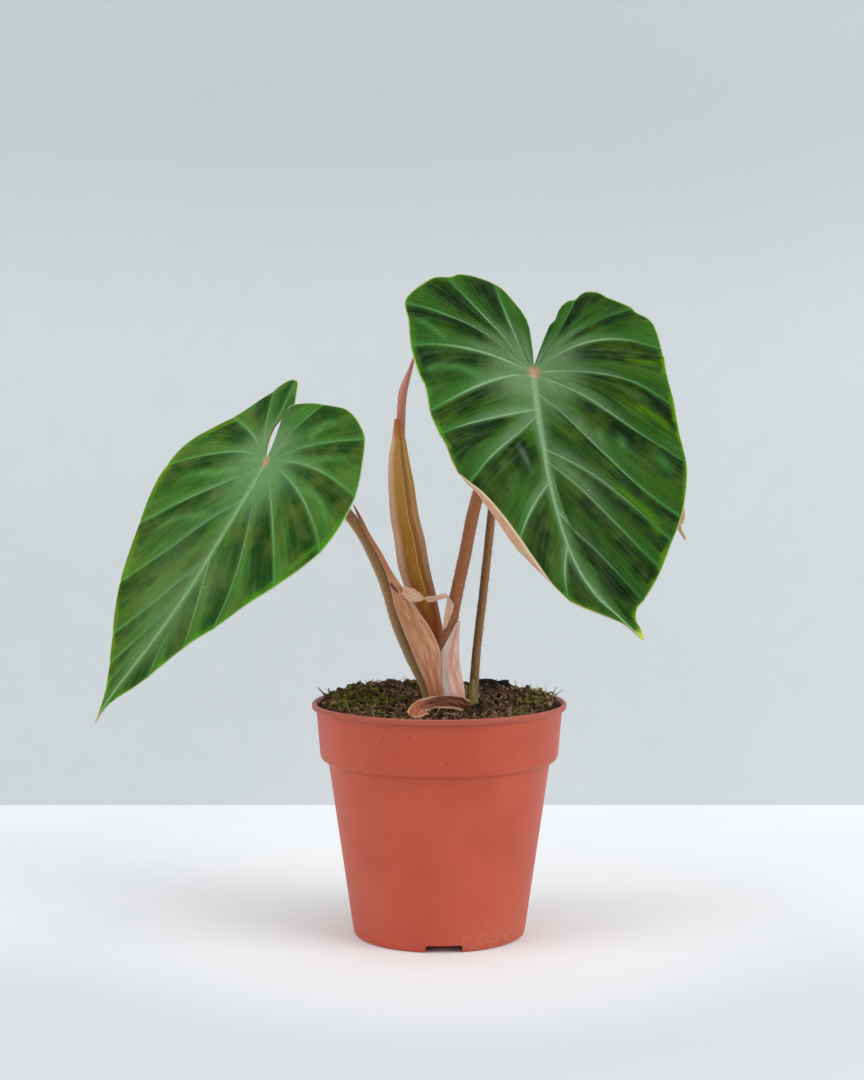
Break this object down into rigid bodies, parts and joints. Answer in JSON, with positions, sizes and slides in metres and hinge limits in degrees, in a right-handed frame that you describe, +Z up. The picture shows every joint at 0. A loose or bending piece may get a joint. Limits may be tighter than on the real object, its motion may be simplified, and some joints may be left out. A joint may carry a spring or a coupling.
{
  "type": "potted philodendron",
  "caption": "Young philodendron verrucosum in a plain terracotta-coloured nursery pot: heart-shaped velvety leaves on slim stalks, withered pink sheaths and a new leaf still in its sheath.",
  "frame": {"origin": "on the pot's axis, on the surface that the pot stands on, at the middle of the pad under its floor", "axes": "+Z up along the pot's axis, -Y towards the front that the picture shows, +X to that view's right"},
  "size_m": [0.281, 0.1889, 0.3091],
  "materials": {
    "terracotta_plastic": "moulded, satin",
    "potting_soil": "damp peat and fibre",
    "crown_bark": "rough cork",
    "velvet_leaf": "velvety, pale veins",
    "pink_petiole": "matt with small pale warts",
    "olive_petiole": "matt with fine hairs",
    "amber_sheath": "thin, translucent, satin",
    "pink_sheath": "papery, faintly ribbed",
    "dry_sheath": "dry and wrinkled"
  },
  "bodies": {
    "root": {"pot": "terracotta_plastic", "soil": "potting_soil", "crown": "crown_bark", "leaf_right": "velvet_leaf", "leaf_left": "velvet_leaf", "leaf_back": "velvet_leaf", "petiole_right": "pink_petiole", "petiole_left": "olive_petiole", "petiole_back": "olive_petiole", "new_leaf_sheath": "amber_sheath", "new_leaf_spear": "pink_sheath", "sheath_left": "pink_sheath", "ribbon": "pink_sheath", "sheath_front": "pink_sheath", "dry_curl": "dry_sheath", "bract": "olive_petiole"}
  },
  "joints": []
}
